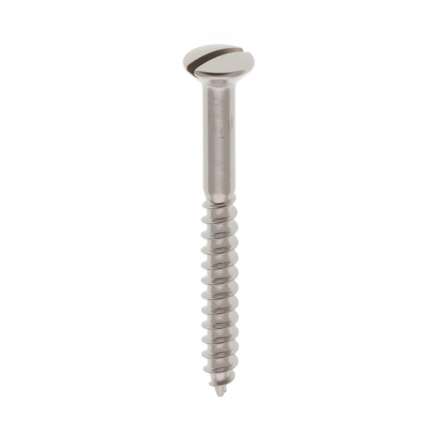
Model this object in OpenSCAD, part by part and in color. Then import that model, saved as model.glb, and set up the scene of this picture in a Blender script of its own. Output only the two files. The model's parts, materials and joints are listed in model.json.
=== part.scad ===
// Slotted raised countersunk wood screw, one piece of stainless steel.
// It lies on its side as it comes to rest, on the rim of the head and on one crest of the thread.
// Head towards +Y, tip towards -Y, up is +Z, all sizes in mm.
// Lengths along the screw are counted from the widest line of the head towards the tip.

/* [Head] */
// Width across the head at the widest line of its rim
head_d = 9.6; // [8.6:0.1:10]
// Height of the domed top above the widest line
dome_h = 1.4; // [1.1:0.05:1.8]
// Radius of the rounded rim between the dome and the countersink
rim_round = 0.65; // [0.4:0.05:0.8]
// Full angle of the countersunk cone
cone_angle = 90; // [80:1:100]
// Radius of the hollow curve from the countersink into the shank
neck_round = 1.4; // [0.4:0.1:2]
// Width of the driver slot
slot_w = 1.6; // [1:0.1:1.8]
// Depth of the driver slot below the top of the dome
slot_depth = 2.5; // [1.8:0.1:2.8]
// Direction of the slot around the axis, from +X
slot_turn = 37.5; // [20:0.5:60]

/* [Shank] */
// Diameter of the plain shank
shank_d = 4.35; // [4:0.05:4.6]
// Where the shank begins to narrow to the thread's core
shank_end = 18.7; // [16:0.1:19]
// Length of that narrowing
narrowing = 1.8; // [1.2:0.1:3]

/* [Thread] */
// Length from the widest line of the head to the end of the tip
screw_len = 49.9; // [46:0.1:60]
// Advance of the thread in one turn
pitch = 2.23; // [1.8:0.01:2.6]
// Diameter over the thread's crests
crest_d = 5.05; // [4.8:0.05:5.4]
// Diameter of the core between the ridges
core_d = 3.35; // [3.2:0.05:3.7]
// Angle of each flank from square across the screw
flank_angle = 27; // [20:1:38]
// Width of the flat along the crest
crest_w = 0.2; // [0.1:0.02:0.4]
// Distance from the end of the plain shank to the start of the ridge
start_gap = 1.25; // [0.9:0.05:1.6]
// Diameter over the crest at the start of the ridge
start_d = 4.4; // [3.8:0.05:4.6]
// Length over which the ridge rises to its full height
run_in = 6; // [4:0.1:9]
// Direction in which the ridge starts around the axis, from +X
start_turn = 15; // [-180:7.5:180]

/* [Tip] */
// Full angle of the tip's cone
tip_angle = 34; // [30:1:50]
// Radius of the rounded end
nose_round = 0.5; // [0.15:0.05:0.6]
// Length of the crest's fall to the end of the ridge
run_out = 6.2; // [4:0.1:7]
// Distance from the end of the ridge to the end of the tip
bare_tip = 0.8; // [0.7:0.1:1.6]

/* [Hidden] */
$fn = 96;
facets = 48;           // steps of the thread in one turn
least_ridge = 0.05;    // height of the ridge at the tip
rise = 2;              // how sharply the ridge's rise eases off
fall = 2.5;            // how late the ridge falls away at the tip
sunk = 0.4;            // depth under the core's surface at which the narrowing ends
nose_rings = [45, 70]; // rings round the nose, in degrees from its widest line
steel = [0.72, 0.70, 0.68];

shank_r = shank_d / 2;
core_r = core_d / 2;
full_r = crest_d / 2;

// Rim circle: centre at (rim_at, 0), radius rim_round
rim_at = head_d / 2 - rim_round;
// Dome circle: over the top at dome_h, and round the rim circle, which it meets at dome_touch
dome_r = (rim_at ^ 2 + dome_h ^ 2 - rim_round ^ 2) / (2 * (dome_h - rim_round));
dome_z = dome_h - dome_r;
dome_touch = [rim_at, 0] + rim_round * [rim_at, -dome_z] / norm([rim_at, dome_z]);
// Where the countersink's line touches the rim circle and the neck circle
half_cone = cone_angle / 2;
rim_touch = [rim_at + rim_round * cos(half_cone), -rim_round * sin(half_cone)];
neck_touch_r = shank_r + neck_round * (1 - cos(half_cone));
neck_touch = [neck_touch_r, rim_touch.y - (rim_touch.x - neck_touch_r) / tan(half_cone)];
neck_at = [shank_r + neck_round, neck_touch.y - neck_round * sin(half_cone)];
// Corner where the countersink's line would meet the shank
neck_corner = [shank_r, neck_touch.y - (neck_touch.x - shank_r) / tan(half_cone)];
slot_floor = dome_h - slot_depth;

// The narrowing runs on inside the core to this end
inner_r = core_r - sunk;
inner_end = shank_end + narrowing * (shank_r - inner_r) / (shank_r - core_r);

// Tip cone, touching the round of the nose
half_tip = tip_angle / 2;
nose_touch_r = nose_round * cos(half_tip);
nose_touch_at = screw_len - nose_round + nose_round * sin(half_tip);
taper_start = nose_touch_at - (core_r - nose_touch_r) / tan(half_tip);
thread_start = shank_end + start_gap;
thread_end = screw_len - bare_tip;
steps = round((thread_end - thread_start) / pitch * facets);

// Core radius at distance s from the widest line of the head
function core_at(s) = s < taper_start ? core_r : core_r - (s - taper_start) * tan(half_tip);

function share(s, from, span) = max(0, min(1, (s - from) / span));

// Crest radius at distance s: a rise that eases off, the full height, then a fall onto the tip
function crest_at(s) =
  let (last = core_at(thread_end) + least_ridge)
  min(full_r - (full_r - start_d / 2) * (1 - share(s, thread_start, run_in)) ^ rise,
      full_r - (full_r - last) * share(s, thread_end - run_out, run_out) ^ fall);

// Distance along the screw and direction around it at a step of the ridge
function step_at(j) = thread_start + pitch * j / facets;
function step_turn(j) = start_turn - 360 * j / facets;

// A point at radius r, direction turn and distance s, the head being towards +Z
function around(r, turn, s) = [r * cos(turn), r * sin(turn), -s];

// The ridge's section at step j: foot, crest, crest, foot
function ridge(j) =
  let (s = step_at(j), r = crest_at(s), turn = step_turn(j))
  let (half_foot = crest_w / 2 + (r - core_at(s)) * tan(flank_angle))
  [around(core_at(s - half_foot), turn, s - half_foot),
   around(r, turn, s - crest_w / 2),
   around(r, turn, s + crest_w / 2),
   around(core_at(s + half_foot), turn, s + half_foot)];

// A ring of points around the axis, in step with the ridge
function ring(r, s, from) = [for (i = [0:facets - 1]) around(r, step_turn(from + i), s)];

// The whole screw rests on the rim and on the crest that leaves it least room to tip
function crossing(k) = thread_start + pitch * (k + (start_turn - 90) / 360);
function rest_angle(s, r) =
  atan2(rim_at - r, s) + asin(rim_round / norm([s, rim_at - r]));
tilt = min([for (k = [0:floor(screw_len / pitch)])
  let (s = crossing(k))
  if (s > thread_start && s < thread_end) rest_angle(s + crest_w / 2, crest_at(s))]);
lift = rim_at * cos(tilt) + rim_round;
head_reach = dome_z * cos(tilt) + dome_r;
tip_reach = (screw_len - nose_round) * cos(tilt) + nose_round;

// Half section of the head, the plain shank and the narrowing
module half_section() {
  intersection() {
    translate([0, dome_z]) circle(dome_r);
    polygon([[0, 0], dome_touch, [rim_at, 2 * dome_h], [0, 2 * dome_h]]);
  }
  translate([rim_at, 0]) circle(rim_round);
  polygon([[0, dome_touch.y], [0, -inner_end], [inner_r, -inner_end], [shank_r, -shank_end],
    neck_corner, rim_touch, [rim_at, 0], dome_touch]);
  difference() {
    polygon([neck_touch, neck_corner, [shank_r, neck_at.y]]);
    translate(neck_at) circle(neck_round);
  }
}

module head_and_shank() {
  difference() {
    rotate_extrude() half_section();
    rotate([0, 0, slot_turn])
      translate([-head_d, -slot_w / 2, slot_floor])
        cube([2 * head_d, slot_w, slot_depth + dome_h]);
  }
}

// The threaded end: one closed skin wound along the ridge, from inside the shank to the nose
module threaded_end() {
  last = steps - facets;
  top_ring = 4 * (steps + 1);
  nose = top_ring + facets;
  nose_rows = 1 + len(nose_rings);
  tip = nose + nose_rows * facets;
  points = [
    for (j = [0:steps]) each ridge(j),
    each ring(core_r, thread_start - pitch / 2, 0),
    for (a = [half_tip, each nose_rings])
      each ring(nose_round * cos(a), screw_len - nose_round * (1 - sin(a)), last),
    [0, 0, -screw_len]
  ];
  // Two triangles between two neighbouring points of one line and those of the line below it
  function strip(a, next_a, b, next_b) = [[a, b, next_b], [a, next_b, next_a]];
  function next(i) = (i + 1) % facets;
  sides = [for (j = [0:steps - 1], m = [0:2])
    each strip(4 * j + m, 4 * j + m + 4, 4 * j + m + 1, 4 * j + m + 5)];
  roots = [for (j = [0:last - 1])
    each strip(4 * j + 3, 4 * j + 7, 4 * (j + facets), 4 * (j + facets + 1))];
  above = [for (i = [0:facets - 2]) each strip(top_ring + i, top_ring + i + 1, 4 * i, 4 * i + 4)];
  below = [for (i = [1:facets - 1])
    each strip(4 * (last + i) + 3, 4 * (last + i) + 7, nose + i, nose + next(i))];
  rounds = [for (k = [0:nose_rows - 2], i = [0:facets - 1])
    let (a = nose + k * facets)
    each strip(a + i, a + next(i), a + facets + i, a + facets + next(i))];
  cap = [for (i = [0:facets - 1]) [tip - facets + i, tip, tip - facets + next(i)]];
  // Fans that close the two ends of the ridge
  start_line = [top_ring + facets - 1, top_ring, 0, 1, 2, 3, 4 * facets];
  start_fan = [for (i = [0:5]) [4 * (facets - 1), start_line[i + 1], start_line[i]]];
  end_line = [4 * last + 3, 4 * steps, 4 * steps + 1, 4 * steps + 2, 4 * steps + 3, nose, nose + 1];
  end_fan = [for (i = [0:5]) [4 * last + 7, end_line[i], end_line[i + 1]]];
  polyhedron(points, concat(sides, roots, above, below, rounds, cap, start_fan, end_fan,
    [[for (i = [0:facets - 1]) top_ring + i]]));
}

module screw() {
  color(steel)
    translate([0, (tip_reach - head_reach) / 2, lift])
      rotate([tilt - 90, 0, 0]) {
        head_and_shank();
        threaded_end();
      }
}

screw();
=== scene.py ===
# A slotted raised countersunk wood screw in stainless steel, lying on a pale studio floor.
# Sizes are millimetres in the screw's own frame: Z is its axis, the head is up, and z = 0 is the
# widest line of the head. A distance s is counted from that line towards the tip, so z = -s.
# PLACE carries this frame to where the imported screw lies, in metres.
import json
import math

import bmesh
import bpy
import numpy as np
from mathutils import Matrix, Vector


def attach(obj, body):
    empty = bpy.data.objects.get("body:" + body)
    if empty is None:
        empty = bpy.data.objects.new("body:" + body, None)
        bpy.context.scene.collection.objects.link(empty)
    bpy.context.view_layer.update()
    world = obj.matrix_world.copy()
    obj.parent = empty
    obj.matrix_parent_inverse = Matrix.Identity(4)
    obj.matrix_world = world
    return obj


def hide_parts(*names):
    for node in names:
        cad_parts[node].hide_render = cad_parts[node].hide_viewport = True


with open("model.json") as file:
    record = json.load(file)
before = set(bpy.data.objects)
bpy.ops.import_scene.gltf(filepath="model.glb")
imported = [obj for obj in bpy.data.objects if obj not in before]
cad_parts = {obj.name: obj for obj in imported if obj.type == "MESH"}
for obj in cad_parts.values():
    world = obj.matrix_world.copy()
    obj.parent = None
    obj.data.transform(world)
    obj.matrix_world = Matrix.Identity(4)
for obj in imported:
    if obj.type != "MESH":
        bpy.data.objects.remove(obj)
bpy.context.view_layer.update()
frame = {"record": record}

MM = 0.001

# Head
HEAD_R = 4.8                      # radius at the widest line of the rim
DOME_H = 1.4                      # height of the dome above that line
RIM_ROUND = 0.65                  # radius of the rim between the dome and the countersink
HALF_CONE = math.radians(46)      # half angle of the countersink
NECK_ROUND = 1.1                  # radius of the hollow curve from the countersink to the shank
NECK_SLOPE = math.radians(1.8)    # slope of the shank where that curve meets it
NECK_END = 4.6                    # distance at which the shank reaches its even radius

# Driver slot
SLOT_HALF = 0.8                   # half its width
SLOT_DEPTH = 2.5                  # depth below the top of the dome
SLOT_TURN = math.radians(36.2)    # direction around the axis, from +X
SLOT_LIP = 0.13                   # worn round of its edges
SLOT_CORNER = 0.16                # round between its walls and its floor

# Shank
SHANK_R = 2.175                   # radius of the plain shank
SHANK_END = 18.7                  # distance at which it begins to narrow
NARROWING = 1.8                   # length over which it narrows to the core
SHANK_SOFT = 0.06                 # round between the shank and the narrowing
CORE_SOFT = 0.24                  # hollow between the narrowing and the core

# Thread
SCREW_LEN = 49.9                  # distance of the end of the tip
PITCH = 2.23                      # advance of the thread in one turn
CREST_R = 2.525                   # radius over a full crest
CORE_R = 1.675                    # radius of the core
UPPER_FLANK = math.radians(27)    # angle from square across of the flanks that face the head
LOWER_FLANK = math.radians(24)    # the same angle of the flanks that face the tip
CREST_W = 0.2                     # width of the crest
CREST_SOFT = 0.05                 # worn round of its edges
ROOT_SOFT = 0.1                   # hollow between a full ridge and the core
LEAST_SOFT = 0.1                  # share of that hollow that the lowest ridge keeps
ROOT_RISE = 0.09                  # rise of the root towards the foot of the next ridge
ROOT_RISE_LENGTH = 0.58           # length of that rise

# Start of the ridge, and the lap, a fold that rolling leaves on its upper flank
START_GAP = 1.25                  # length from the end of the shank to the start of the ridge
START_R = 2.2                     # radius over the crest at its start
START_TURN = math.radians(22)     # direction of the start around the axis, from +X
RUN_IN = 6.0                      # length over which the crest rises to its full height
RUN_IN_EASE = 2.0                 # how sharply that rise eases off
LAP_AT = 0.38                     # how far the lap's edge lies from the crest, towards the head
LAP_DROP = 0.2                    # how far it lies below the crest's height
LAP_LENGTH = 0.9                  # length from the start after which it sinks into the flank
LAP_SINK = 1.0                    # how far it sinks in one turn

# Slow stray of the ridges along the screw from an even helix
STRAY = 0.07                      # the most that they stray
STRAY_LENGTH = 26.6               # length of one full swing
STRAY_FROM = 28.0                 # distance at which they cross the even helix
STRAY_END = 1.0                   # length over which the stray dies out above the nose

# Tip
HALF_TIP = math.radians(17)       # half angle of its cone
NOSE_ROUND = 0.5                  # radius of its rounded end
RUN_OUT = 6.6                     # length over which the crest falls to the end of the ridge
RUN_OUT_EASE = 3.0                # how late that fall comes
LEAST_RIDGE = 0.18                # height of the ridge at its end
BARE_TIP = 0.8                    # length from the end of the ridge to the end of the tip
END_SLOPE = 5.0                   # how steeply the ridge falls away beyond its two ends

# Fineness of the mesh
RIM_ROWS = 22                     # rows over the rim
BAND_ROWS = 5                     # rows from the rim down to the corners of the slot's floor
LIP_STEPS = 4                     # steps over the slot's worn edges
WALL_SHARES = (0, 0.04, 0.15, 0.4, 0.7, 1)                  # rows down the slot's walls
DOME_SHARES = (0, 0.02, 0.07, *np.linspace(0.15, 1, 16))    # rows from the slot over the dome
BEND_COLUMNS = 3                  # columns round each corner of the slot's floor
FLOOR_COLUMNS = 6                 # columns across the flat of that floor
NOTCH_COLUMNS = 2 * BEND_COLUMNS + FLOOR_COLUMNS            # columns below each end of the slot
SIDE_COLUMNS = 60                 # columns on each side of the slot
AROUND = 2 * (NOTCH_COLUMNS + SIDE_COLUMNS)                 # columns once round the screw
SKIRT_ROWS = 6                    # rows from the slot down to the first full ring
SKIRT_Z = -1.75                   # height of that ring
CONE_ROWS = 6                     # rows from it down the rest of the cone
NECK_ROWS = 10                    # rows round the neck
NECK_END_ROWS = 9                 # rows from the neck to the even shank
SHANK_ROWS = 30                   # rows down the even shank
THREAD_LEAD = 0.5                 # length of even shank that belongs to the thread's strip
NOSE_ROWS = 9                     # rows round the end of the tip
WELD = 0.002                      # points that are closer than this become one
# Offsets from the crest of the points across the strip, closest where it bends most
SECTION = np.array((0, 0.06, 0.11, 0.16, 0.22, 0.28, 0.34, 0.40, 0.46, 0.52, 0.60, 0.70, 0.86))

# Camera, far away, as with a long lens
CAMERA_ELEVATION = math.radians(25.76)    # above square to the axis, on the head's side
CAMERA_ROLL = math.radians(0.256)
CAMERA_DISTANCE = 2188.0
CAMERA_CLIP = (0.1, 20)           # nearest and farthest distance that it sees, in metres
SENSOR_WIDTH = 36
PIXELS_PER_MM = 7.4504
PICTURE_WIDTH = 440
AIM_AT = 25.0                     # distance along the screw of the point that it looks at
AIM_RIGHT = 0.068                 # how far right of that point the middle of the picture lies
AIM_UP = 1.418                    # how far above it

# Floor and the lamp that lights it
FLOOR_SIZE = 8                    # in metres
FLOOR_COLOUR = (0.16, 0.16, 0.16, 1)
FLOOR_GLOW = 0.59                 # glow of its own, which keeps shadows on it faint
LAMP_STRENGTH = 7.4
LAMP_SPREAD = math.radians(5)
LAMP_COLOUR = (0.98, 1.0, 1.0)

# Sky. A colour is its green, and red and blue as shares of that. A centre is the degrees up from
# +Y over the top towards -Y, and a share aside towards +X. An edge is the degrees from the centre
# at which a light or dark field begins, and at which it is full.
SIDES_COLOUR = (0.552, 1.075, 0.98)
PANEL_COLOUR = (1.07, 1.08, 1.05)
PANEL_CENTRE = (150, -0.03)
PANEL_EDGE = (44, 16)
DARK_COLOUR = (0.075, 1.35, 0.75)
DARK_CENTRE = (44, -0.2)
DARK_EDGE = (54, 14)
PALE_COLOUR = (0.72, 1.05, 0.96)
PALE_UP = (-0.06, 0, 1)           # direction that the pale band round the floor is square to
PALE_EDGE = (0.2, 0.0)            # heights over which the band fades in towards the floor
WHITE = (1, 1, 1, 1)

# Steel: heights, or distances across or along the slot, between which each zone fades in
BELOW_HEAD_IN = (-0.2, -1.5)
NECK_IN = (-1.2, -1.7)
NECK_OUT = (-3.6, -3.0)
SHANK_IN = (-3.0, -4.0)
THREAD_IN = (-SHANK_END, -SHANK_END - NARROWING)
TIP_IN = (-46.0, -47.0)
# The next two fade in the painted highlight along the slot's lips
LIP_HIGHLIGHT_IN = (SLOT_HALF + 0.26, SLOT_HALF + 0.1)
LIP_HIGHLIGHT_HEIGHTS = (-1.2, -0.8)
FILM_IN = (SLOT_HALF + SLOT_LIP, SLOT_HALF)
FILM_HEIGHTS = (DOME_H - SLOT_DEPTH - 0.1, DOME_H - SLOT_DEPTH)
FILM_THINS = (0.0, 4.1)           # the film thins over this distance along the slot
FILM_LEFT = 0.05                  # to this share

# Steel: colours, and tones that they are multiplied by
WARM_STEEL = (0.600, 0.553, 0.506, 1)
COOL_STEEL = (0.580, 0.562, 0.530, 1)
FILM_COLOUR = (0.26, 0.20, 0.16, 1)
NECK_TONE = (1.03, 1.06, 1.10)
SHANK_TONE = (0.945, 0.94, 0.94)
# Painted highlight along the slot's lips
LIP_HIGHLIGHT_TONE = (1.15, 1.10, 1.07)
# Tone of the marks and of the painted shade
MARK_AND_SHADE_TONE = (0.45, 0.42, 0.40)
FILM_METALLIC = 0.9

# Steel: roughness
HEAD_ROUGH = 0.09
SHANK_ROUGH = 0.15
NECK_ROUGH = 0.28
THREAD_ROUGH = 0.2
TIP_ROUGH = 0.36
FILM_ROUGH = 0.42
STREAK_ROUGH = 0.08               # how much the drawing marks change it

# Steel: noise patterns, each with its scale along X, Y and Z, its overall scale and its detail.
# An edge is the values of a pattern between which it fades in. The rings' X is the distance out
# from the axis.
CLOUD_NOISE = ((1, 1, 0.5), 0.7, 3)
CLOUD_EDGE = (0.35, 0.65)
STREAK_NOISE = ((1, 1, 0.05), 7.0, 3)
RIPPLE_NOISE = ((0.8, 0.8, 1.0), 1.5, 2)
PATCH_NOISE = ((1, 1, 1), 0.3, 1)
PATCH_EDGE = (0.4, 0.6)
RING_NOISE = ((9, 1, 1), 1.0, 2)

# Steel: heights of the relief
STREAK_HEIGHT = 0.002
RIPPLE_HEIGHTS = (0.01, 0.034)    # on the shank, outside and inside the patches
THREAD_RIPPLE_HEIGHT = 0.05
RING_HEIGHT = 0.012

# Marks that the photograph shows on the upper side of the screw, and one line of painted shade: distance
# across it and along it, slant in degrees from square across, half length, half width and how dark each
# is
MARKS_AND_SHADE = (
    (-1.34, 7.3, 90, 0.9, 0.12, 0.3),
    (-0.70, 8.4, 88, 1.5, 0.10, 0.3),
    (-0.42, 8.8, 88, 1.4, 0.08, 0.5),
    (0.28, 9.3, 90, 0.8, 0.09, 0.5),
    (0.43, 10.15, 5, 0.28, 0.11, 0.9),
    (1.30, 8.7, 92, 1.5, 0.11, 0.45),
    (1.72, 8.3, 90, 1.8, 0.15, 0.5),
    # Painted shade: a dark line just above where the ridge starts
    (-1.0, 19.92, -13, 0.85, 0.10, 0.9),
)
MARK_EDGE = (1.0, 0.3)            # shares of a mark's size between which it fades in
MARK_SIDE = (0.5, 0.2)            # the upper side faces -Y: marks fade in over these values of y

# Shapes that follow from the sizes above
RIM_AT = HEAD_R - RIM_ROUND                # distance of the rim circle's middle from the axis
DOME_R = (RIM_AT ** 2 + DOME_H ** 2 - RIM_ROUND ** 2) / (2 * (DOME_H - RIM_ROUND))
DOME_Z = DOME_H - DOME_R                   # height of the middle of the dome's sphere
DOME_EDGE = math.atan2(-DOME_Z, RIM_AT)    # angle on the rim's circle where the dome meets it
RIM_END = -HALF_CONE                       # angle on it where the cone starts
SLOT_FLOOR = DOME_H - SLOT_DEPTH           # height of the slot's floor
CORNER_Z = SLOT_FLOOR + SLOT_CORNER        # height at which its flat walls start
ALONG_SLOT = (math.cos(SLOT_TURN), math.sin(SLOT_TURN), 0)
ACROSS_SLOT = (-math.sin(SLOT_TURN), math.cos(SLOT_TURN), 0)
# Distances at which the tip's cone meets the rounded end, and at which the core starts to taper
NOSE_TOUCH = SCREW_LEN - NOSE_ROUND + NOSE_ROUND * math.sin(HALF_TIP)
TAPER_START = NOSE_TOUCH - (CORE_R - NOSE_ROUND * math.cos(HALF_TIP)) / math.tan(HALF_TIP)
THREAD_TOP = SHANK_END - THREAD_LEAD       # distance at which the thread's strip starts
THREAD_START = SHANK_END + START_GAP       # distance at which its ridge starts
THREAD_END = SCREW_LEN - BARE_TIP          # distance at which the ridge ends
STEP = 2 * math.pi / AROUND                # angle between two columns


def screw_place():
    """The matrix from the screw's own frame, in mm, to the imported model's, in metres."""
    mount = next(m for m in frame["record"]["mounts"] if m["name"] == "drive_slot")
    axis = Vector(mount["axis"]).normalized()
    origin = Vector(mount["pos_m"]) - axis * SLOT_FLOOR * MM
    across = Vector((1, 0, 0))
    turned = Matrix((across, axis.cross(across), axis)).transposed()
    return Matrix.Translation(origin) @ turned.to_4x4() @ Matrix.Scale(MM, 4)


PLACE = screw_place()


class Skin:
    """One closed surface, gathered from grids of points that meet at their edges."""

    def __init__(self):
        self.points = []
        self.faces = []

    def grid(self, rows):
        """Faces between neighbouring points of rows that are all of one length."""
        rows = np.asarray(rows, float)
        high, wide = rows.shape[:2]
        first = len(self.points)
        self.points.extend(rows.reshape(-1, 3).tolist())
        for i in range(high - 1):
            for k in range(wide - 1):
                a = first + i * wide + k
                self.faces.append((a, a + 1, a + wide + 1, a + wide))

    def twice(self, rows):
        """The grid, and the same grid half a turn further round the axis."""
        rows = np.asarray(rows, float)
        self.grid(rows)
        self.grid(rows * (-1, -1, 1))

    def turn(self, angle):
        """Turn all that is gathered so far around the axis."""
        cos, sin = math.cos(angle), math.sin(angle)
        turned = np.array(((cos, -sin, 0), (sin, cos, 0), (0, 0, 1)))
        self.points = (np.array(self.points) @ turned.T).tolist()

    def to_object(self, name):
        """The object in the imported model's frame, with the grids' edges welded."""
        mesh = bpy.data.meshes.new(name)
        mesh.from_pydata([PLACE @ Vector(point) for point in self.points], [], self.faces)
        work = bmesh.new()
        work.from_mesh(mesh)
        bmesh.ops.remove_doubles(work, verts=work.verts, dist=WELD * MM)
        bmesh.ops.recalc_face_normals(work, faces=work.faces)
        for face in work.faces:
            face.smooth = True
        work.to_mesh(mesh)
        work.free()
        obj = bpy.data.objects.new(name, mesh)
        bpy.context.scene.collection.objects.link(obj)
        return obj


def lerp(a, b, share):
    return np.asarray(a) + (np.asarray(b) - np.asarray(a)) * share


def polar(r, turn, z):
    return (r * math.cos(turn), r * math.sin(turn), z)


def dome_z(r):
    return DOME_Z + math.sqrt(DOME_R ** 2 - r ** 2)


def rim_point(angle):
    return RIM_AT + RIM_ROUND * math.cos(angle), RIM_ROUND * math.sin(angle)


def cone_r(z):
    r, touch = rim_point(RIM_END)
    return r + (z - touch) * math.tan(HALF_CONE)


def band_profile():
    """Radius, height and outward direction from the dome's edge, over the rim, to the slot's corner."""
    rows = []
    for angle in np.linspace(DOME_EDGE, RIM_END, RIM_ROWS):
        rows.append((*rim_point(angle), math.cos(angle), math.sin(angle)))
    for z in np.linspace(rows[-1][1], CORNER_Z, BAND_ROWS)[1:]:
        rows.append((cone_r(z), z, math.cos(HALF_CONE), -math.sin(HALF_CONE)))
    return rows


def side_turn(r, column):
    """Direction of a column of the head beside the slot, at radius r."""
    edge = math.asin((SLOT_HALF + SLOT_LIP) / r)
    return lerp(edge, math.pi - edge, column / SIDE_COLUMNS)


def moved_in(corner, outward):
    """The corner moved along the slot's wall, against the outward direction, to the lip's inner edge."""
    outward = np.array(outward, float)
    return corner - outward * SLOT_LIP / np.linalg.norm(outward)


def slot_wall_edge():
    """Three lines along one wall of the slot, end to end over the dome: the outer edge of the
    rounded lip, the sharp corner that it replaces, and the inner edge, on the wall."""
    outer_y = SLOT_HALF + SLOT_LIP
    end = []
    for r, z, out_r, out_z in reversed(band_profile()):
        x = math.sqrt(r ** 2 - SLOT_HALF ** 2)
        outer = (math.sqrt(r ** 2 - outer_y ** 2), outer_y, z)
        corner = np.array((x, SLOT_HALF, z))
        end.append((outer, corner, moved_in(corner, (out_r * x / r, 0, out_z))))
    far_end = [[np.asarray(point) * (-1, 1, 1) for point in three] for three in reversed(end)]
    edge_r = rim_point(DOME_EDGE)[0]
    reach = math.cos(side_turn(edge_r, 0))
    over = []
    for column in range(1, SIDE_COLUMNS):
        share = math.cos(side_turn(edge_r, column)) / reach
        x = share * math.sqrt(edge_r ** 2 - SLOT_HALF ** 2)
        outer_x = share * math.sqrt(edge_r ** 2 - outer_y ** 2)
        outer = (outer_x, outer_y, dome_z(math.hypot(outer_x, outer_y)))
        corner = np.array((x, SLOT_HALF, dome_z(math.hypot(x, SLOT_HALF))))
        over.append((outer, corner, moved_in(corner, (x, 0, corner[2] - DOME_Z))))
    return end + over + far_end


def channel(width, corner, w):
    """Across and height of the slot's trough, at distance w along its section from the middle."""
    flat = width - corner
    bend = corner * math.pi / 2
    side = math.copysign(1, w)
    if abs(w) <= flat:
        return w, CORNER_Z - corner
    if abs(w) < flat + bend:
        angle = (abs(w) - flat) / corner
        return side * (flat + corner * math.sin(angle)), CORNER_Z - corner * math.cos(angle)
    return side * width, CORNER_Z + abs(w) - flat - bend


def slot_end_edge():
    """The same three lines under one end of the slot, from one wall round the trough to the other."""
    flat = SLOT_HALF - SLOT_CORNER
    wide_corner = SLOT_CORNER + SLOT_LIP
    bends = np.linspace(0, 1, BEND_COLUMNS + 1)
    # A station is its side of the trough, its share of the way round the corner, and of the flat
    stations = [(-1, 1 - bend, 0) for bend in bends[:-1]]
    stations += [(0, 0, share) for share in np.linspace(-1, 1, FLOOR_COLUMNS + 1)]
    stations += [(1, bend, 0) for bend in bends[1:]]
    lines = []
    for side, bend, share in stations:
        angle = bend * math.pi / 2
        w = share * flat + side * (flat + SLOT_CORNER * angle)
        y, z = channel(SLOT_HALF, SLOT_CORNER, w)
        x = math.sqrt(cone_r(z) ** 2 - y ** 2)
        outer_w = share * flat + side * (flat + wide_corner * angle)
        outer_y, outer_z = channel(SLOT_HALF + SLOT_LIP, wide_corner, outer_w)
        outer_x = math.sqrt(cone_r(outer_z) ** 2 - outer_y ** 2)
        # The cone's outward direction, taken along the slot and along the trough's section
        heading = side * math.cos(angle) if side else 1
        out_x = math.cos(HALF_CONE) * x / cone_r(z)
        out_w = math.cos(HALF_CONE) * y / cone_r(z) * heading - math.sin(HALF_CONE) * math.sin(angle)
        inward = -SLOT_LIP / math.hypot(out_x, out_w)
        inner_y, inner_z = channel(SLOT_HALF, SLOT_CORNER, w + out_w * inward * (side or 1))
        inner = (x + out_x * inward, inner_y, inner_z)
        lines.append(((outer_x, outer_y, outer_z), (x, y, z), inner))
    return lines


def rounded(lines):
    """The strip that rounds a corner: outer edge, corner and inner edge become one curve."""
    rows = []
    for t in np.linspace(0, 1, LIP_STEPS + 1):
        rows.append([lerp(lerp(a, c, t), lerp(c, b, t), t) for a, c, b in lines])
    return rows


def add_slot(skin, wall_edge, end_edge):
    """The slot's rounded edges, its walls, and the trough of its floor."""
    skin.twice(rounded(wall_edge))
    skin.twice(rounded(end_edge))
    top = np.array([inner for _, _, inner in wall_edge])
    lengths = np.linalg.norm(np.diff(top, axis=0), axis=1)
    along = np.concatenate(([0], np.cumsum(lengths))) / lengths.sum()
    base = np.array([lerp(top[0], top[-1], share) for share in along])
    skin.twice([lerp(top, base, share) for share in WALL_SHARES])
    trough = np.array([inner for _, _, inner in end_edge])
    skin.grid([[lerp(point, point * (-1, 1, 1), share) for share in along] for point in trough])


def add_dome(skin):
    """The dome on both sides of the slot, from its lips out to the rim."""
    edge_r = rim_point(DOME_EDGE)[0]
    arc = np.array([polar(edge_r, side_turn(edge_r, k), 0) for k in range(SIDE_COLUMNS + 1)])
    lip = arc * (1, 0, 1) + (0, SLOT_HALF + SLOT_LIP, 0)
    dome = np.array([lerp(lip, arc, share) for share in DOME_SHARES])
    dome[..., 2] = DOME_Z + np.sqrt(DOME_R ** 2 - dome[..., 0] ** 2 - dome[..., 1] ** 2)
    skin.twice(dome)


def add_band(skin):
    """The rim and the top of the countersink on both sides of the slot."""
    columns = range(SIDE_COLUMNS + 1)
    skin.twice([[polar(r, side_turn(r, k), z) for k in columns] for r, z, _, _ in band_profile()])


def skirt_column(turn, z, ring_turn):
    """Points down the cone from one point of the slot's outer edge to the first full ring."""
    points = []
    for share in np.linspace(0, 1, SKIRT_ROWS):
        height = lerp(z, SKIRT_Z, share)
        points.append(polar(cone_r(height), lerp(turn, ring_turn, share), height))
    return points


def add_skirt(skin, end_edge):
    """The cone below the slot: columns under its sides, and under its two ends."""
    r = cone_r(CORNER_Z)
    beside = []
    for k in range(SIDE_COLUMNS + 1):
        ring_turn = STEP * (k + NOTCH_COLUMNS / 2)
        beside.append(skirt_column(side_turn(r, k), CORNER_Z, ring_turn))
    under = []
    for k, (outer, _, _) in enumerate(end_edge):
        ring_turn = STEP * (k - NOTCH_COLUMNS / 2)
        under.append(skirt_column(math.atan2(outer[1], outer[0]), outer[2], ring_turn))
    skin.twice(beside)
    skin.twice(under)


def add_head(skin):
    """Dome, rim and countersink with the slot through them, down to the first full ring."""
    end_edge = slot_end_edge()
    add_slot(skin, slot_wall_edge(), end_edge)
    add_dome(skin)
    add_band(skin)
    add_skirt(skin, end_edge)


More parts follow.
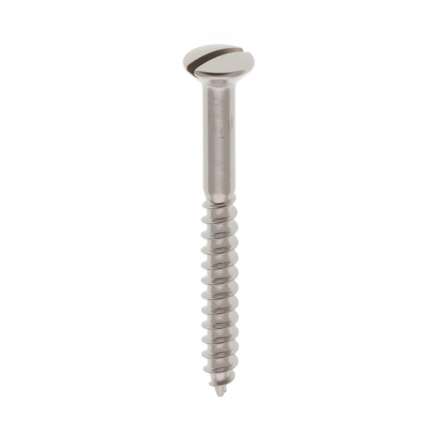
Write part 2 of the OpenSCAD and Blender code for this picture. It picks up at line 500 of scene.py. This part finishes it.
def neck_profile():
    """Radius and height from the first full ring down the cone and round the neck to the shank."""
    # The neck's circle touches two straight lines: the cone and the upper end of the shank
    normals = np.array([(math.cos(a), -math.sin(a)) for a in (HALF_CONE, NECK_SLOPE)])
    on_lines = np.array([rim_point(RIM_END), (SHANK_R, -NECK_END)])
    centre_r, centre_z = np.linalg.solve(normals, (normals * on_lines).sum(axis=1) + NECK_ROUND)
    touch_z = centre_z + NECK_ROUND * math.sin(HALF_CONE)
    rows = [(cone_r(z), z) for z in np.linspace(SKIRT_Z, touch_z, CONE_ROWS)]
    for angle in np.linspace(HALF_CONE, NECK_SLOPE, NECK_ROWS)[1:]:
        rows.append((centre_r - NECK_ROUND * math.cos(angle), centre_z + NECK_ROUND * math.sin(angle)))
    last_r, last_z = rows[-1]
    for share in np.linspace(0, 1, NECK_END_ROWS)[1:]:
        eased = 1 - (1 - share) ** 2
        rows.append((lerp(last_r, SHANK_R, eased), lerp(last_z, -NECK_END, share)))
    return rows


def shank_profile():
    return [(SHANK_R, -s) for s in np.linspace(NECK_END, THREAD_TOP, SHANK_ROWS)]


def nose_profile():
    rows = []
    for angle in np.linspace(HALF_TIP, math.pi / 2, NOSE_ROWS):
        z = NOSE_ROUND * (1 - math.sin(angle)) - SCREW_LEN
        rows.append((NOSE_ROUND * math.cos(angle), z))
    return rows


def add_rings(skin, profile, turn, twist=0.0):
    """Full rings of the profile, the first one turned by turn and the last one by the twist more."""
    turns = np.linspace(turn, turn + twist, len(profile))
    columns = range(AROUND + 1)
    rings = zip(turns, profile)
    skin.grid([[polar(r, start + k * STEP, z) for k in columns] for start, (r, z) in rings])


def soft_max(a, b, blend):
    """The larger of two, rounded where they cross."""
    near = np.maximum(blend - np.abs(a - b), 0) / blend
    return np.maximum(a, b) + near ** 2 * blend / 4


def soft_min(a, b, blend):
    return -soft_max(-a, -b, blend)


def progress(s, start, span):
    """How far s is over a span, from 0 at its start to 1 at its end and beyond."""
    return np.clip((s - start) / span, 0, 1)


def body_r(s):
    """Radius of the shank, the narrowing, the core and the tip's cone at distance s."""
    narrowing = SHANK_R - (s - SHANK_END) * (SHANK_R - CORE_R) / NARROWING
    full = soft_min(soft_max(narrowing, CORE_R, CORE_SOFT), SHANK_R, SHANK_SOFT)
    return full - np.maximum(s - TAPER_START, 0) * math.tan(HALF_TIP)


def crest_r(s):
    """Crest radius: a rise that eases off, the full height, then a fall onto the tip."""
    last = CORE_R - (THREAD_END - TAPER_START) * math.tan(HALF_TIP) + LEAST_RIDGE
    rise_left = (1 - progress(s, THREAD_START, RUN_IN)) ** RUN_IN_EASE
    fallen = progress(s, THREAD_END - RUN_OUT, RUN_OUT) ** RUN_OUT_EASE
    rising = CREST_R - (CREST_R - START_R) * rise_left
    falling = CREST_R - (CREST_R - last) * fallen
    beyond = np.maximum(THREAD_START - s, 0) + np.maximum(s - THREAD_END, 0)
    return np.minimum(rising, falling) - END_SLOPE * beyond


def flank_drop(offset):
    """How far the section falls at an offset from the crest, whose edges are worn round."""
    inside = np.abs(offset) - CREST_W / 2
    flank = np.where(offset < 0, math.tan(UPPER_FLANK), math.tan(LOWER_FLANK))
    return (inside + np.sqrt(inside ** 2 + CREST_SOFT ** 2)) / 2 / flank


def thread_r(crest_s, offset):
    """Radius at offsets along the screw from the crest at distance crest_s."""
    crest = crest_r(crest_s)
    # The share of its full height that the ridge has here
    full = np.clip((crest - body_r(crest_s)) / (CREST_R - CORE_R), 0, 1)
    rise = ROOT_RISE * full * progress(offset, -PITCH / 2, ROOT_RISE_LENGTH) ** 2 * (offset < 0)
    root = body_r(crest_s + offset) + rise
    ridge = crest + flank_drop(0.0) - flank_drop(offset)
    sunk = LAP_DROP + LAP_SINK * progress(crest_s, THREAD_START + LAP_LENGTH, PITCH)
    lap = crest - sunk - flank_drop(offset + LAP_AT)
    return soft_max(root, np.maximum(ridge, lap), ROOT_SOFT * max(full, LEAST_SOFT))


def strayed(s):
    """Distance s, moved by the slow stray of the ridges from an even helix."""
    swing = np.sin((s - STRAY_FROM) / STRAY_LENGTH * 2 * math.pi)
    ends = progress(s, SHANK_END + NARROWING, PITCH) * progress(-s, -NOSE_TOUCH, STRAY_END)
    return s + STRAY * swing * ends


def add_threaded_end(skin):
    """A strip one pitch wide wound round the screw, cut square at its top and above the nose."""
    offsets = np.concatenate(([-PITCH / 2], -SECTION[:0:-1], SECTION, [PITCH / 2]))
    first = math.floor((THREAD_TOP - PITCH - THREAD_START) / PITCH * AROUND)
    last = math.ceil((NOSE_TOUCH + PITCH - THREAD_START) / PITCH * AROUND)
    rows = []
    for j in range(first, last + 1):
        crest_s = THREAD_START + PITCH * j / AROUND
        s = crest_s + offsets
        inside = np.clip(s, THREAD_TOP, NOSE_TOUCH)
        r = np.where(s == inside, thread_r(crest_s, offsets), body_r(inside))
        rows.append(np.stack(polar(r, START_TURN - STEP * j, -strayed(inside)), axis=1))
    skin.grid(rows)


def make_screw():
    skin = Skin()
    add_head(skin)
    skin.turn(SLOT_TURN)
    # The columns of the rings twist a little on the way down, to meet those of the thread
    twist = math.remainder(START_TURN - SLOT_TURN, STEP)
    add_rings(skin, neck_profile() + shank_profile()[1:], SLOT_TURN, twist)
    add_threaded_end(skin)
    add_rings(skin, nose_profile(), START_TURN)
    return skin.to_object("wood_screw")


class Nodes:
    """Short calls that add shader nodes to one tree and link them."""

    def __init__(self, tree):
        self.tree = tree

    def feed(self, socket, value):
        """Link another node's output to a socket, or set the socket's own value."""
        if isinstance(value, bpy.types.NodeSocket):
            self.tree.links.new(value, socket)
        else:
            socket.default_value = value

    def add(self, kind, inputs=(), **settings):
        """A new node with these settings, and with these values or outputs fed to its inputs."""
        node = self.tree.nodes.new(kind)
        for name, value in settings.items():
            setattr(node, name, value)
        for name, value in dict(inputs).items():
            self.feed(node.inputs[name], value)
        return node

    def math(self, operation, *values):
        node = self.add("ShaderNodeMath", operation=operation)
        for socket, value in zip(node.inputs, values):
            self.feed(socket, value)
        return node.outputs["Value"]

    def product(self, first, *others):
        for value in others:
            first = self.math("MULTIPLY", first, value)
        return first

    def total(self, first, *others):
        for value in others:
            first = self.math("ADD", first, value)
        return first

    def vector_math(self, operation, *values):
        node = self.add("ShaderNodeVectorMath", operation=operation)
        for socket, value in zip(node.inputs, values):
            self.feed(socket, value)
        return node

    def dot(self, vector, fixed):
        return self.vector_math("DOT_PRODUCT", vector, fixed).outputs["Value"]

    def length(self, vector):
        return self.vector_math("LENGTH", vector).outputs["Value"]

    def scaled(self, vector, factors):
        return self.vector_math("MULTIPLY", vector, factors).outputs["Vector"]

    def joined(self, x, y, z):
        return self.add("ShaderNodeCombineXYZ", {"X": x, "Y": y, "Z": z}).outputs["Vector"]

    def fade(self, value, start, end):
        """0 before start, 1 after end, smooth between them."""
        inputs = {"Value": value, "From Min": start, "From Max": end}
        node = self.add("ShaderNodeMapRange", inputs, interpolation_type="SMOOTHSTEP")
        return node.outputs["Result"]

    def noise(self, vector, factors, scale, detail):
        inputs = {"Vector": self.scaled(vector, factors), "Scale": scale, "Detail": detail}
        return self.add("ShaderNodeTexNoise", inputs).outputs["Fac"]

    def blend(self, factor, a, b):
        """A number between a and b."""
        # A Mix node's third and fourth inputs are the ones for numbers
        node = self.add("ShaderNodeMix", {"Factor": factor})
        self.feed(node.inputs[2], a)
        self.feed(node.inputs[3], b)
        return node.outputs[0]

    def mix(self, factor, a, b):
        """A colour between a and b."""
        node = self.add("ShaderNodeMix", {"Factor": factor, "A": a, "B": b}, data_type="RGBA")
        return node.outputs["Result"]

    def toned(self, factor, colour, tone):
        """The colour, multiplied by the tone where factor is 1."""
        return self.mix(factor, colour, self.scaled(colour, tone))


def own_coordinates(nodes):
    """The shading point in the screw's own frame, in mm."""
    location, rotation, scale = PLACE.inverted().decompose()
    packed = nodes.add("ShaderNodeTexCoord").outputs["Object"]
    mapping = nodes.add("ShaderNodeMapping", {"Vector": packed, "Location": location,
                                              "Rotation": rotation.to_euler(), "Scale": scale})
    return mapping.outputs["Vector"]


class Zones:
    """Parts of the screw's surface, each a shader value from 0 outside it to 1 inside."""

    def __init__(self, nodes, point):
        height = nodes.dot(point, (0, 0, 1))
        across = nodes.math("ABSOLUTE", nodes.dot(point, ACROSS_SLOT))
        along = nodes.dot(point, ALONG_SLOT)
        self.below_head = nodes.fade(height, *BELOW_HEAD_IN)
        self.neck = nodes.product(nodes.fade(height, *NECK_IN), nodes.fade(height, *NECK_OUT))
        self.thread = nodes.fade(height, *THREAD_IN)
        self.shank = nodes.math("SUBTRACT", nodes.fade(height, *SHANK_IN), self.thread)
        self.tip = nodes.fade(height, *TIP_IN)
        # A painted highlight on the dome along the slot's lips, and the brown film that stays on its
        # walls and floor
        self.lip = nodes.product(nodes.fade(across, *LIP_HIGHLIGHT_IN), nodes.fade(height, *LIP_HIGHLIGHT_HEIGHTS))
        self.film = nodes.product(nodes.fade(across, *FILM_IN), nodes.fade(height, *FILM_HEIGHTS),
                                  nodes.blend(nodes.fade(along, *FILM_THINS), 1.0, FILM_LEFT))


def mark(nodes, point, across, along, slant, half_length, half_width, darkness):
    """How dark one row of the marks and painted shade is at a point."""
    slant = math.radians(slant)
    middle = Vector((across, 0, -along))
    lengthwise = Vector((math.cos(slant), 0, math.sin(slant)))
    crosswise = Vector((-math.sin(slant), 0, math.cos(slant)))
    offsets = []
    for way, half in ((lengthwise, half_length), (crosswise, half_width)):
        offset = nodes.math("SUBTRACT", nodes.dot(point, way), middle.dot(way))
        offsets.append(nodes.math("DIVIDE", offset, half))
    inside = nodes.fade(nodes.length(nodes.joined(*offsets, 0.0)), *MARK_EDGE)
    return nodes.product(inside, darkness)


def marks_and_shade(nodes, point):
    """How dark the marks and the painted shade are at a point, from 0 to 1."""
    all_marks_and_shade = nodes.total(*[mark(nodes, point, *row) for row in MARKS_AND_SHADE])
    return nodes.product(all_marks_and_shade, nodes.fade(nodes.dot(point, (0, 1, 0)), *MARK_SIDE))


def steel_colour(nodes, point, zones):
    """Warm and cool steel in clouds, with the tones of its zones, a painted highlight by the lips, the
    film, the marks and painted shade.
    """
    cloud = nodes.fade(nodes.noise(point, *CLOUD_NOISE), *CLOUD_EDGE)
    colour = nodes.mix(cloud, WARM_STEEL, COOL_STEEL)
    colour = nodes.toned(zones.neck, colour, NECK_TONE)
    colour = nodes.toned(zones.shank, colour, SHANK_TONE)
    # Painted highlight along the slot's lips
    colour = nodes.toned(zones.lip, colour, LIP_HIGHLIGHT_TONE)
    colour = nodes.mix(zones.film, colour, FILM_COLOUR)
    # Marks, and a line of painted shade where the ridge starts
    return nodes.toned(marks_and_shade(nodes, point), colour, MARK_AND_SHADE_TONE)


def steel_roughness(nodes, streaks, zones):
    """A polished head, a smooth shank, and a duller neck, thread, tip and slot."""
    rough = nodes.blend(zones.below_head, HEAD_ROUGH, SHANK_ROUGH)
    rough = nodes.blend(zones.neck, rough, NECK_ROUGH)
    rough = nodes.blend(zones.thread, rough, THREAD_ROUGH)
    rough = nodes.blend(zones.tip, rough, TIP_ROUGH)
    rough = nodes.blend(zones.film, rough, FILM_ROUGH)
    uneven = nodes.product(nodes.math("SUBTRACT", streaks, 0.5), STREAK_ROUGH)
    return nodes.total(rough, uneven)


def steel_relief(nodes, point, streaks, zones):
    """Relief below the head, in mm: drawing marks and ripples, and rolled rings on the thread."""
    patches = nodes.fade(nodes.noise(point, *PATCH_NOISE), *PATCH_EDGE)
    ripple_height = nodes.blend(patches, *RIPPLE_HEIGHTS)
    ripple_height = nodes.blend(zones.thread, ripple_height, THREAD_RIPPLE_HEIGHT)
    radius = nodes.length(nodes.scaled(point, (1, 1, 0)))
    out_and_up = nodes.joined(radius, 0.0, nodes.dot(point, (0, 0, 1)))
    drawn = nodes.product(streaks, STREAK_HEIGHT, zones.below_head)
    ripples = nodes.product(nodes.noise(point, *RIPPLE_NOISE), ripple_height, zones.below_head)
    rings = nodes.product(nodes.noise(out_and_up, *RING_NOISE), RING_HEIGHT, zones.thread)
    return nodes.total(drawn, ripples, rings)


def steel():
    """Stainless steel: polished head, drawn shank, rolled thread, and a brown film in the slot."""
    material = bpy.data.materials.new("stainless_steel")
    material.use_nodes = True
    nodes = Nodes(material.node_tree)
    shader = material.node_tree.nodes["Principled BSDF"]
    point = own_coordinates(nodes)
    zones = Zones(nodes, point)
    streaks = nodes.noise(point, *STREAK_NOISE)
    relief = steel_relief(nodes, point, streaks, zones)
    bump = nodes.add("ShaderNodeBump", {"Height": relief, "Distance": MM, "Strength": 1.0})
    nodes.feed(shader.inputs["Base Color"], steel_colour(nodes, point, zones))
    nodes.feed(shader.inputs["Metallic"], nodes.blend(zones.film, 1.0, FILM_METALLIC))
    nodes.feed(shader.inputs["Roughness"], steel_roughness(nodes, streaks, zones))
    nodes.feed(shader.inputs["Normal"], bump.outputs["Normal"])
    return material


def make_floor():
    """A dull pale floor with a glow of its own."""
    bpy.ops.mesh.primitive_plane_add(size=FLOOR_SIZE)
    floor = bpy.context.object
    floor.name = "studio_floor"
    material = bpy.data.materials.new("pale_floor")
    material.use_nodes = True
    shader = material.node_tree.nodes["Principled BSDF"]
    shader.inputs["Base Color"].default_value = FLOOR_COLOUR
    shader.inputs["Emission Color"].default_value = WHITE
    shader.inputs["Emission Strength"].default_value = FLOOR_GLOW
    shader.inputs["Roughness"].default_value = 1.0
    shader.inputs["Specular IOR Level"].default_value = 0.0
    floor.data.materials.append(material)


def tint(green, red_share, blue_share):
    return (green * red_share, green, green * blue_share, 1)


def sky_field(nodes, direction, centre, edge):
    """1 round the centre of a field of the sky, fading to 0 at its edge."""
    angle, aside = math.radians(centre[0]), centre[1]
    middle = Vector((aside, math.cos(angle), math.sin(angle))).normalized()
    begins, full = (math.cos(math.radians(degrees)) for degrees in edge)
    return nodes.fade(nodes.dot(direction, middle), begins, full)


def make_sky():
    """A soft studio room: a light panel beyond the tip, a dark end behind the camera, and a pale
    band round the floor. The camera itself sees white."""
    world = bpy.data.worlds.new("studio")
    bpy.context.scene.world = world
    world.use_nodes = True
    nodes = Nodes(world.node_tree)
    background = world.node_tree.nodes["Background"]
    direction = nodes.add("ShaderNodeTexCoord").outputs["Generated"]
    panel = sky_field(nodes, direction, PANEL_CENTRE, PANEL_EDGE)
    dark = sky_field(nodes, direction, DARK_CENTRE, DARK_EDGE)
    pale = nodes.fade(nodes.dot(direction, PALE_UP), *PALE_EDGE)
    colour = nodes.mix(panel, tint(*SIDES_COLOUR), tint(*PANEL_COLOUR))
    colour = nodes.mix(dark, colour, tint(*DARK_COLOUR))
    colour = nodes.mix(pale, colour, tint(*PALE_COLOUR))
    seen = nodes.add("ShaderNodeLightPath").outputs["Is Camera Ray"]
    nodes.feed(background.inputs["Color"], nodes.mix(seen, colour, WHITE))


def make_lamp():
    """A soft light along the camera's view, for the floor. The steel doesn't mirror it."""
    data = bpy.data.lights.new("overhead", "SUN")
    data.energy = LAMP_STRENGTH
    data.angle = LAMP_SPREAD
    data.color = LAMP_COLOUR
    lamp = bpy.data.objects.new("overhead", data)
    lamp.rotation_euler = bpy.context.scene.camera.matrix_world.to_euler()
    lamp.visible_glossy = False
    bpy.context.scene.collection.objects.link(lamp)


def make_camera():
    """Looks down on the screw at the angle of the photograph, through a long lens."""
    turned = PLACE.to_3x3().normalized()
    up = turned @ Vector((0, math.sin(CAMERA_ELEVATION), math.cos(CAMERA_ELEVATION)))
    back = turned @ Vector((0, -math.cos(CAMERA_ELEVATION), math.sin(CAMERA_ELEVATION)))
    right = up.cross(back)
    aim = PLACE @ Vector((0, 0, -AIM_AT)) + (right * AIM_RIGHT + up * AIM_UP) * MM
    roll = Matrix.Rotation(-CAMERA_ROLL, 3, "Z")
    turn = (Matrix((right, up, back)).transposed() @ roll).to_4x4()
    data = bpy.data.cameras.new("camera")
    data.sensor_width = SENSOR_WIDTH
    data.lens = PIXELS_PER_MM * CAMERA_DISTANCE * SENSOR_WIDTH / PICTURE_WIDTH
    data.clip_start, data.clip_end = CAMERA_CLIP
    camera = bpy.data.objects.new("camera", data)
    camera.matrix_world = Matrix.Translation(aim + back * CAMERA_DISTANCE * MM) @ turn
    bpy.context.scene.collection.objects.link(camera)
    bpy.context.scene.camera = camera


make_camera()
screw = make_screw()
screw.data.materials.append(steel())
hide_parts("screw")
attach(screw, "root")
make_floor()
make_sky()
make_lamp()
bpy.context.scene.view_settings.view_transform = "Standard"
